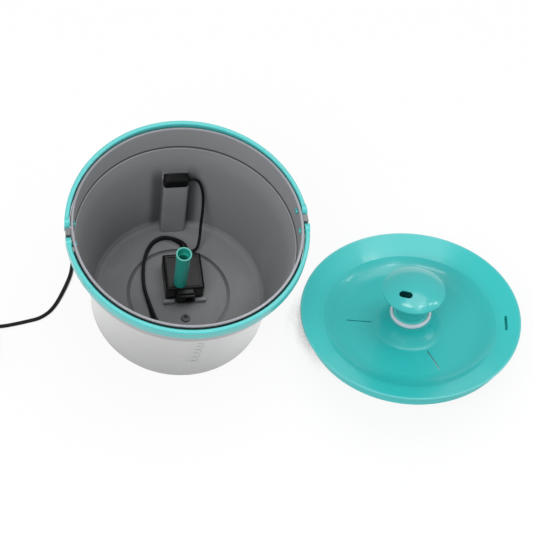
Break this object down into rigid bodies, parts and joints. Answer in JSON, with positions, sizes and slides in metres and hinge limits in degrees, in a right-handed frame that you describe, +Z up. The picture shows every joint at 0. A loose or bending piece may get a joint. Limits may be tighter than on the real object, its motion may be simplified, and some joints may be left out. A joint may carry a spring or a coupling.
{
  "type": "pet water fountain",
  "caption": "Pet water fountain shown open: round tank with swing-up handle halves, submersible pump with riser tube and lead, and a round drinking tray with a domed spout.",
  "frame": {"origin": "middle of the tank's base, on the surface it stands on", "axes": "+Z up out of the tank; +X from the tank towards the tray, along the line of the handle hinges; +Y towards the socket column at the back of the tank"},
  "size_m": [0.5304, 0.2857, 0.1354],
  "materials": {
    "tank_grey": "satin moulded",
    "teal": "glossy moulded",
    "riser_teal": "satin moulded",
    "black_plastic": "fine texture",
    "pump_black": "satin moulded",
    "soft_black": "matte",
    "cord_black": "satin jacket",
    "seal_rubber": "matte",
    "contact_metal": "plated",
    "shell_steel": "bright plated",
    "shaft_steel": "ground",
    "bush_white": "smooth",
    "magnet": "moulded ferrite",
    "ring_white": "soft satin"
  },
  "bodies": {
    "tank_body": {"tank": "tank_grey", "column_socket": "black_plastic", "socket_pins": "contact_metal", "socket_seal": "seal_rubber", "cord_gland": "soft_black", "inner_lead": "cord_black", "power_cord": "cord_black", "cord_coil": "cord_black", "cord_tie": "soft_black", "usb_grip": "soft_black", "usb_shell": "shell_steel"},
    "rear_handle": {"rear_handle": "teal"},
    "front_handle": {"front_handle": "teal"},
    "pump": {"pump_body": "pump_black", "rear_bush": "bush_white", "impeller_shaft": "shaft_steel", "suction_foot_1": "seal_rubber", "suction_foot_2": "seal_rubber", "suction_foot_3": "seal_rubber", "suction_foot_4": "seal_rubber", "pump_lead": "cord_black", "lead_grommet": "soft_black", "connector": "pump_black", "connector_contacts": "contact_metal"},
    "inlet_cover": {"inlet_cover": "pump_black", "front_bush": "bush_white"},
    "flow_regulator": {"flow_regulator": "black_plastic"},
    "impeller": {"impeller": "bush_white", "rotor_magnet": "magnet"},
    "riser": {"riser_tube": "riser_teal"},
    "tray": {"tray": "teal", "seal_ring": "ring_white"},
    "spout": {"spout_stem": "teal", "spout_cap": "teal"}
  },
  "joints": [
    {"name": "rear_handle_hinge", "type": "hinge", "parent": "tank_body", "child": "rear_handle", "pos_m": [0, 0.0102, 0.1255], "axis": [1, 0, 0], "range_deg": [-3, 83]},
    {"name": "front_handle_hinge", "type": "hinge", "parent": "tank_body", "child": "front_handle", "pos_m": [0, -0.0102, 0.1255], "axis": [-1, 0, 0], "range_deg": [0, 86]},
    {"name": "tray_lift", "type": "slide", "parent": "tank_body", "child": "tray", "axis": [0, 0, 1], "range_m": [0, 0.15]},
    {"name": "spout_pull", "type": "slide", "parent": "tray", "child": "spout", "axis": [-0.0565, 0.2352, 0.9703], "range_m": [0, 0.045]},
    {"name": "pump_lift", "type": "slide", "parent": "tank_body", "child": "pump", "axis": [0, 0, 1], "range_m": [0, 0.125]},
    {"name": "riser_slide", "type": "slide", "parent": "pump", "child": "riser", "axis": [0, 0, 1], "range_m": [0, 0.026]},
    {"name": "impeller_spin", "type": "hinge", "parent": "pump", "child": "impeller", "pos_m": [0.0046, 0, 0.0184], "axis": [0, 1, 0], "continuous": true},
    {"name": "cover_pull", "type": "slide", "parent": "pump", "child": "inlet_cover", "axis": [0, -1, 0], "range_m": [0, 0.012]},
    {"name": "regulator_slide", "type": "slide", "parent": "inlet_cover", "child": "flow_regulator", "axis": [1, 0, 0], "range_m": [0, 0.006]}
  ]
}
